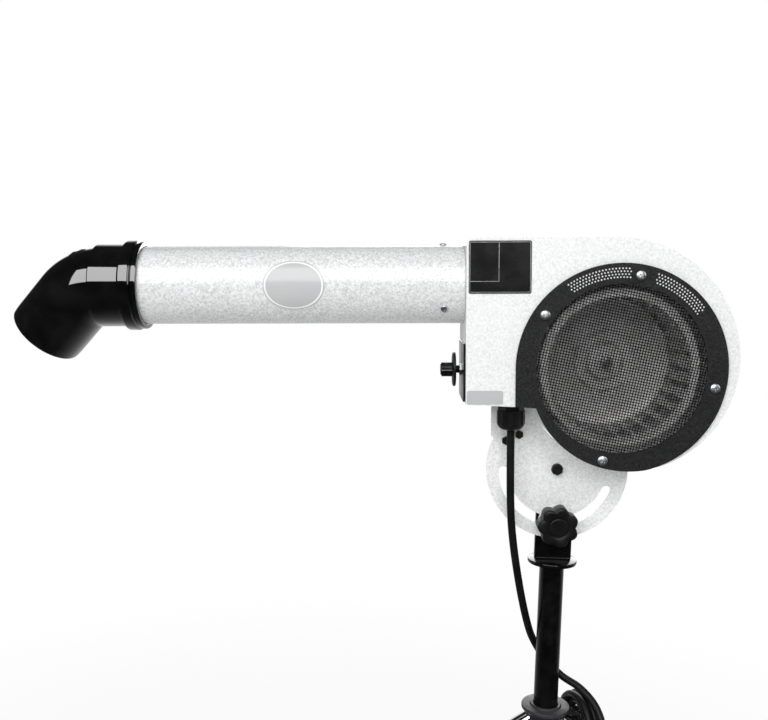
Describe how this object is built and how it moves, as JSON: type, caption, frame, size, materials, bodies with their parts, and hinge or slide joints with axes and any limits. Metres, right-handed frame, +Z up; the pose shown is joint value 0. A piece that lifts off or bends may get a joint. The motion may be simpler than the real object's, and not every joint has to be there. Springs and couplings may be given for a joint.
{
  "type": "pet dryer",
  "caption": "Stand pet dryer: scroll fan housing with guarded intake, long outlet tube and angled nozzle, tilting on a slotted quadrant above a sliding post and splayed legs.",
  "frame": {"origin": "on the floor, at the centre of the footprint of everything but the mains cord", "axes": "+Z up; +X from the nozzle towards the fan housing; +Y from the air intake towards the motor"},
  "size_m": [1.0312, 0.668, 1.0433],
  "materials": {
    "white_paint": "semi-gloss enamel",
    "plain_steel": "zinc-coated sheet",
    "wrinkle_black": "wrinkle paint",
    "grey_wire": "woven wire",
    "wheel_steel": "galvanised",
    "zinc": "bright zinc",
    "motor_grey": "painted casting",
    "mica": "mica board",
    "heater_wire": "oxidised",
    "gloss_black": "gloss",
    "black_plastic": "satin",
    "plate_grey": "satin",
    "hammertone": "hammertone",
    "black_paint": "gloss enamel",
    "nylon": "matte",
    "chrome": "polished",
    "rubber": "matte"
  },
  "bodies": {
    "stand": {"column": "chrome", "column_cap": "black_plastic", "hub_collar": "chrome", "leg_1": "chrome", "leg_2": "chrome", "leg_3": "chrome", "foot_1": "rubber", "foot_2": "rubber", "foot_3": "rubber", "cord_hank": "rubber", "plug": "black_plastic"},
    "height_clamp": {"height_knob": "black_plastic"},
    "swivel": {"swivel_bush": "nylon"},
    "post": {"tongue": "black_paint", "post_tube": "black_paint", "pivot_bolt": "zinc", "pivot_nut": "zinc", "clamp_stud": "zinc", "clamp_washer": "hammertone", "cord_free": "rubber"},
    "tilt_clamp": {"tilt_knob": "black_plastic"},
    "head": {"front_plate": "white_paint", "rear_plate": "white_paint", "scroll_band": "white_paint", "cutoff_plate": "plain_steel", "intake_ring": "wrinkle_black", "intake_mesh": "grey_wire", "ring_screw_1": "zinc", "ring_screw_2": "zinc", "ring_screw_3": "zinc", "ring_screw_4": "zinc", "motor_body": "motor_grey", "motor_screw_1": "zinc", "motor_screw_2": "zinc", "motor_screw_3": "zinc", "outlet_spigot": "plain_steel", "outlet_tube": "white_paint", "tube_screw_1": "zinc", "tube_screw_2": "zinc", "tube_screw_3": "zinc", "heater_frame": "mica", "heater_coil": "heater_wire", "tube_badge": "plate_grey", "rating_plate": "black_plastic", "voltage_plate": "plate_grey", "control_plate": "black_plastic", "control_label": "plate_grey", "selector_switch": "black_plastic", "selector_nut": "black_plastic", "gland_body": "black_plastic", "gland_nut": "black_plastic", "ear_bracket": "white_paint", "quadrant_plate": "hammertone", "ear_bolt_1": "zinc", "ear_bolt_2": "zinc"},
    "fan": {"impeller": "wheel_steel", "impeller_nut": "zinc", "motor_shaft": "plain_steel"},
    "outlet": {"nozzle": "gloss_black"},
    "selector": {"selector_knob": "black_plastic"}
  },
  "joints": [
    {"name": "stand_swivel", "type": "hinge", "parent": "stand", "child": "swivel", "pos_m": [0.20051, -0.06712, 0.42], "axis": [0, 0, 1], "continuous": true, "deforming": ["cord_free"]},
    {"name": "post_lift", "type": "slide", "parent": "swivel", "child": "post", "axis": [0, 0, 1], "range_m": [0, 0.23], "deforming": ["cord_free"]},
    {"name": "head_tilt", "type": "hinge", "parent": "post", "child": "head", "pos_m": [0.20051, -0.06712, 0.7434], "axis": [0, 1, 0], "range_deg": [-60, 67], "deforming": ["cord_free"]},
    {"name": "tilt_knob_turn", "type": "hinge", "parent": "post", "child": "tilt_clamp", "pos_m": [0.20051, -0.1, 0.6734], "axis": [0, -1, 0], "range_deg": [0, 360]},
    {"name": "height_knob_turn", "type": "hinge", "parent": "stand", "child": "height_clamp", "pos_m": [0.2475, -0.05002, 0.3874], "axis": [0.9397, 0.342, 0], "range_deg": [0, 360]},
    {"name": "selector_turn", "type": "hinge", "parent": "head", "child": "selector", "pos_m": [0.05661, -0.08712, 0.87216], "axis": [-0.9996, 0, -0.0298], "range_deg": [-60, 60]},
    {"name": "fan_spin", "type": "hinge", "parent": "head", "child": "fan", "pos_m": [0.2644, -0.06712, 0.88237], "axis": [0, 1, 0], "continuous": true},
    {"name": "nozzle_turn", "type": "hinge", "parent": "head", "child": "outlet", "pos_m": [-0.33903, -0.06712, 0.9682], "axis": [0.9996, 0, 0.0298], "continuous": true}
  ]
}
